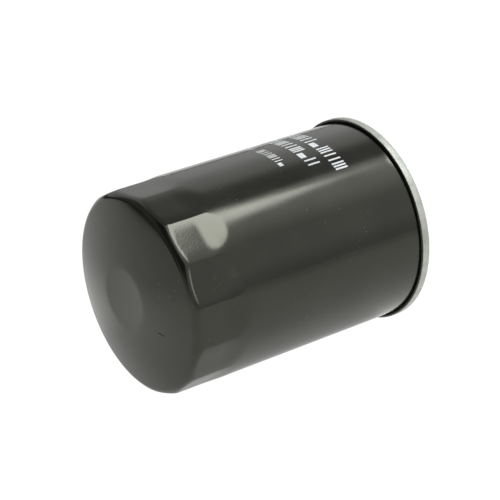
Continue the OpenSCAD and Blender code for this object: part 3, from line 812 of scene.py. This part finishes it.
class FILTER_OT_scratch(Operator):
    """Builds a short dull scratch in the paint of the domed end"""

    bl_idname = "filter.scratch"
    bl_label = "Scratch"

    def execute(self, context):
        dome_r, dome_h = dome_form(sizes())[1:]
        bm = bmesh.new()
        pairs = []
        for y, z, half in SCRATCH:
            pair = []
            for side in (-half, half):
                at_y, at_z = y * MM, (z + side) * MM
                h = dome_h + math.sqrt(dome_r**2 - at_y**2 - at_z**2) + SCRATCH_LIFT
                pair.append(bm.verts.new((GASKET_X - h, at_y, at_z)))
            pairs.append(pair)
        ribbon(bm, pairs)
        bmesh.ops.recalc_face_normals(bm, faces=bm.faces)
        finish_piece(bm, "scratch", FINISHES["scratch"], sharp=60)
        return {"FINISHED"}


class FILTER_OT_stage(Operator):
    """Sets the floor, the surroundings and the camera"""

    bl_idname = "filter.stage"
    bl_label = "Stage, light and camera"

    def execute(self, context):
        scene = context.scene
        scene.view_settings.view_transform = "Standard"
        add_floor()
        add_surroundings(scene)
        add_camera(scene)
        return {"FINISHED"}


FLOOR_SIZE = 4
FLOOR_GAP = 0.02 * MM
FLOOR_AWAY = (-0.5, 0.85, 0)
# Floor glow near and far from the filter is a painted pool of light. The share of it kept behind the filter
# is a painted shadow.
FLOOR_NEAR_GLOW, FLOOR_FAR_GLOW = 0.52, 0.25
FLOOR_PAINTED_SHADOW = 0.42
WHITE_LEVEL, WHITE_SHARE = 1.05, 0.97


def add_floor():
    """A pale floor under the filter."""
    bm = bmesh.new()
    bmesh.ops.create_grid(bm, x_segments=1, y_segments=1, size=FLOOR_SIZE)
    bmesh.ops.translate(bm, verts=bm.verts, vec=(0, 0, -SEAM_R - FLOOR_GAP))
    mesh = bpy.data.meshes.new("floor")
    bm.to_mesh(mesh)
    bm.free()
    floor = bpy.data.objects.new("floor", mesh)
    bpy.context.scene.collection.objects.link(floor)
    mesh.materials.append(floor_with_painted_light())


def floor_with_painted_light():
    """A matt floor, white to the eye and clear from below. Its glow is painted light: a painted pool of light
    near the filter that fades far away, a painted shadow behind the filter, and painted shade that turns the
    floor near black towards its far end.
    """
    material = bpy.data.materials.new("Pale floor")
    material.use_nodes = True
    tree = material.node_tree
    shader = tree.nodes["Principled BSDF"]
    shader.inputs["Roughness"].default_value = 0.9
    shader.inputs["Specular IOR Level"].default_value = 0
    shader.inputs["Emission Color"].default_value = (1.0, 1.0, 0.98, 1)
    where = tree.nodes.new("ShaderNodeTexCoord").outputs["Object"]
    away = dotted(tree, where, FLOOR_AWAY)
    distance = tree.nodes.new("ShaderNodeVectorMath")
    distance.operation = "LENGTH"
    tree.links.new(where, distance.inputs[0])
    # Painted pool of light: the glow is strongest near the filter and fades farther away.
    far = spread(tree, distance.outputs["Value"], 0.2, 0.8, FLOOR_NEAR_GLOW, FLOOR_FAR_GLOW)
    # Painted shadow: the glow drops behind the filter, where its shadow falls.
    glow = joined(tree, "MULTIPLY", far, spread(tree, away, 0.095, 0.17, 1.0, FLOOR_PAINTED_SHADOW))
    # Painted shade: towards the far end the glow fades and the floor's colour turns near black.
    end = spread(tree, away, 0.45, 0.95)
    glow = joined(tree, "MULTIPLY", glow, joined(tree, "MULTIPLY_ADD", end, -0.9, 1.0))
    tree.links.new(glow, shader.inputs["Emission Strength"])
    pale = tinted(tree, end, (0.52, 0.52, 0.51), (0.02, 0.02, 0.02))
    tree.links.new(pale, shader.inputs["Base Color"])
    see_through = tree.nodes.new("ShaderNodeBsdfTransparent")
    side = tree.nodes.new("ShaderNodeNewGeometry")
    bright = tree.nodes.new("ShaderNodeEmission")
    bright.inputs["Strength"].default_value = WHITE_LEVEL
    path = tree.nodes.new("ShaderNodeLightPath")
    lifted = tree.nodes.new("ShaderNodeMixShader")
    share = joined(tree, "MULTIPLY", path.outputs["Is Camera Ray"], WHITE_SHARE)
    tree.links.new(share, lifted.inputs["Fac"])
    tree.links.new(shader.outputs["BSDF"], lifted.inputs[1])
    tree.links.new(bright.outputs["Emission"], lifted.inputs[2])
    mix = tree.nodes.new("ShaderNodeMixShader")
    tree.links.new(side.outputs["Backfacing"], mix.inputs["Fac"])
    tree.links.new(lifted.outputs["Shader"], mix.inputs[1])
    tree.links.new(see_through.outputs["BSDF"], mix.inputs[2])
    tree.links.new(mix.outputs["Shader"], tree.nodes["Material Output"].inputs["Surface"])
    return material


DARK_SIDE = Vector((-0.72, -0.12, 0.62)).normalized()
FILL_SIDE = Vector((0.15, -0.915, 0.37)).normalized()
HORIZON = 0.66
BOX_CORNER = Vector((0.713, -0.071))
BOX_LONG = Vector((-0.37, -0.93))
BOX_WIDE = Vector((-0.76, 0.65))
BOX_LENGTH, BOX_WIDTH, BOX_SOFT = 0.62, 0.5, 0.1
BOX_LEVEL, GLOW_LEVEL, DIM_LEVEL, FILL_LEVEL = 7.5, 0.9, -0.6, 3.0
LEFT_SHARE, DARK_LEVEL = 0.78, -0.96


def joined(tree, operation, first, second, third=None):
    """A Math node. Each input is a number or another node's output."""
    node = tree.nodes.new("ShaderNodeMath")
    node.operation = operation
    for socket, amount in zip(node.inputs, (first, second, third)):
        if amount is None:
            continue
        if isinstance(amount, (int, float)):
            socket.default_value = amount
        else:
            tree.links.new(amount, socket)
    return node.outputs["Value"]


def dotted(tree, vector, constant):
    """The dot product of a vector with a constant one."""
    node = tree.nodes.new("ShaderNodeVectorMath")
    node.operation = "DOT_PRODUCT"
    node.inputs[1].default_value = constant
    tree.links.new(vector, node.inputs[0])
    return node.outputs["Value"]


def overhead_box(tree, overhead):
    """A mask of the soft box overhead: a slanted rectangle of the plane one unit above the object."""
    area = BOX_LONG.x * BOX_WIDE.y - BOX_WIDE.x * BOX_LONG.y
    along = Vector((BOX_WIDE.y, -BOX_WIDE.x)) / area
    across = Vector((-BOX_LONG.y, BOX_LONG.x)) / area
    sides = []
    for way, reach in ((along, BOX_LENGTH), (across, BOX_WIDTH)):
        value = dotted(tree, overhead, (way.x, way.y, -way.dot(BOX_CORNER)))
        near = spread(tree, value, -0.03, 0.05)
        far = spread(tree, value, reach - BOX_SOFT, reach, 1.0, 0.0)
        sides.append(joined(tree, "MULTIPLY", near, far))
    return joined(tree, "MULTIPLY", *sides)


def add_surroundings(scene):
    """A white studio: a soft box and its glow overhead, a dim strip beside them, a small fill light in front,
    and a dark side and a dark part of the horizon to the left. The camera itself sees plain white.
    """
    world = bpy.data.worlds.new("Studio")
    world.use_nodes = True
    scene.world = world
    tree = world.node_tree
    sky = tree.nodes["Background"]
    direction = tree.nodes.new("ShaderNodeTexCoord").outputs["Generated"]
    parts = tree.nodes.new("ShaderNodeSeparateXYZ")
    tree.links.new(direction, parts.inputs["Vector"])
    up = joined(tree, "MAXIMUM", parts.outputs["Z"], 0.02)
    scale = tree.nodes.new("ShaderNodeVectorMath")
    scale.operation = "SCALE"
    tree.links.new(direction, scale.inputs["Vector"])
    tree.links.new(joined(tree, "DIVIDE", 1.0, up), scale.inputs["Scale"])
    overhead = scale.outputs["Vector"]
    above = spread(tree, parts.outputs["Z"], 0.02, 0.35)
    away = dotted(tree, overhead, (0, 1, 0))
    dim_in = spread(tree, away, 0.04, 0.16)
    dim_out = spread(tree, away, 0.42, 0.85, 1.0, 0.0)
    dim = joined(tree, "MULTIPLY", dim_in, dim_out)
    glow_in = spread(tree, away, -0.95, -0.25)
    glow_out = spread(tree, away, 0.0, 0.12, 1.0, 0.0)
    glow = joined(tree, "MULTIPLY", glow_in, glow_out)
    box = overhead_box(tree, overhead)
    level = joined(tree, "MULTIPLY_ADD", dim, DIM_LEVEL, 1.0)
    level = joined(tree, "MULTIPLY_ADD", glow, GLOW_LEVEL, level)
    level = joined(tree, "MULTIPLY_ADD", box, BOX_LEVEL, level)
    level = joined(tree, "SUBTRACT", level, HORIZON)
    level = joined(tree, "MULTIPLY_ADD", level, above, HORIZON)
    fill = spread(tree, dotted(tree, direction, FILL_SIDE), 0.982, 0.996)
    level = joined(tree, "MULTIPLY_ADD", fill, FILL_LEVEL, level)
    dark = spread(tree, dotted(tree, direction, DARK_SIDE), 0.72, 0.93)
    left = spread(tree, parts.outputs["X"], -0.5, -0.3, 1.0, 0.0)
    left = joined(tree, "MULTIPLY", left, spread(tree, parts.outputs["Y"], -0.1, 0.2))
    left = joined(tree, "MULTIPLY", left, spread(tree, parts.outputs["Z"], -0.12, -0.02))
    dark = joined(tree, "MAXIMUM", dark, joined(tree, "MULTIPLY", left, LEFT_SHARE))
    level = joined(tree, "MULTIPLY", level, joined(tree, "MULTIPLY_ADD", dark, DARK_LEVEL, 1.0))
    path = tree.nodes.new("ShaderNodeLightPath")
    pick = tree.nodes.new("ShaderNodeMix")
    tree.links.new(path.outputs["Is Camera Ray"], pick.inputs["Factor"])
    tree.links.new(level, pick.inputs["A"])
    pick.inputs["B"].default_value = 1.0
    tree.links.new(pick.outputs["Result"], sky.inputs["Strength"])
    sky.inputs["Color"].default_value = (1.0, 1.0, 1.0, 1)


CAMERA_FORWARD = Vector((0.52731, 0.71325, -0.46178))
CAMERA_RIGHT = Vector((0.80411, -0.59448, 0))
CAMERA_FROM_SEAM = Vector((-0.41227, -0.4852, 0.3164))
SENSOR_MM, LENS_MM = 36, 133.16


def add_camera(scene):
    """A long lens that looks down on the domed end."""
    data = bpy.data.cameras.new("Camera")
    data.sensor_width = SENSOR_MM
    data.lens = LENS_MM
    data.clip_start, data.clip_end = 0.01, 50
    camera = bpy.data.objects.new("Camera", data)
    scene.collection.objects.link(camera)
    back = -CAMERA_FORWARD.normalized()
    right = CAMERA_RIGHT.normalized()
    up = back.cross(right)
    turn = Matrix((right, up, back)).transposed().to_4x4()
    camera.matrix_world = Matrix.Translation(Vector((SEAM_X, 0, 0)) + CAMERA_FROM_SEAM) @ turn
    scene.camera = camera


class FILTER_OT_cad_finishes(Operator):
    """Gives each node that shows as it was packed its finish"""

    bl_idname = "filter.cad_finishes"
    bl_label = "Finishes of the packed nodes"

    def execute(self, context):
        slots = {part["node"]: part["material_slot"] for part in frame["record"]["subparts"]}
        for name, node in frame["nodes"].items():
            node.data.materials.clear()
            node.data.materials.append(FINISHES[slots[name]])
        return {"FINISHED"}


class FILTER_PT_panel(Panel):
    """Lists the filter's sizes, colours and builders"""

    bl_idname = "FILTER_PT_panel"
    bl_label = "Oil filter"
    bl_space_type = "VIEW_3D"
    bl_region_type = "UI"
    bl_category = "Oil filter"

    def draw(self, context):
        for group in (context.scene.filter_sizes, context.scene.filter_colours):
            for name in group.__annotations__:
                self.layout.prop(group, name)
        for operator in BUILDERS:
            self.layout.operator(operator.bl_idname)


BUILDERS = (
    FILTER_OT_cad_finishes, FILTER_OT_can, FILTER_OT_seaming_lid, FILTER_OT_base_plate, FILTER_OT_rubber,
    FILTER_OT_bypass_spring, FILTER_OT_printed_marks, FILTER_OT_scratch, FILTER_OT_stage,
)
CLASSES = (FilterSizes, FilterColours, *BUILDERS, FILTER_PT_panel)


def register():
    """Registers the classes and hangs the sizes and colours on the scene."""
    for item in CLASSES:
        bpy.utils.register_class(item)
    bpy.types.Scene.filter_sizes = PointerProperty(type=FilterSizes)
    bpy.types.Scene.filter_colours = PointerProperty(type=FilterColours)


def unregister():
    """Takes back what register did."""
    del bpy.types.Scene.filter_colours
    del bpy.types.Scene.filter_sizes
    for item in reversed(CLASSES):
        bpy.utils.unregister_class(item)


def main():
    """Builds every piece and the stage."""
    register()
    make_finishes()
    bpy.ops.filter.cad_finishes()
    bpy.ops.filter.can()
    bpy.ops.filter.seaming_lid()
    bpy.ops.filter.base_plate()
    bpy.ops.filter.rubber()
    bpy.ops.filter.bypass_spring()
    bpy.ops.filter.printed_marks()
    bpy.ops.filter.scratch()
    bpy.ops.filter.stage()


if __name__ == "__main__":
    main()
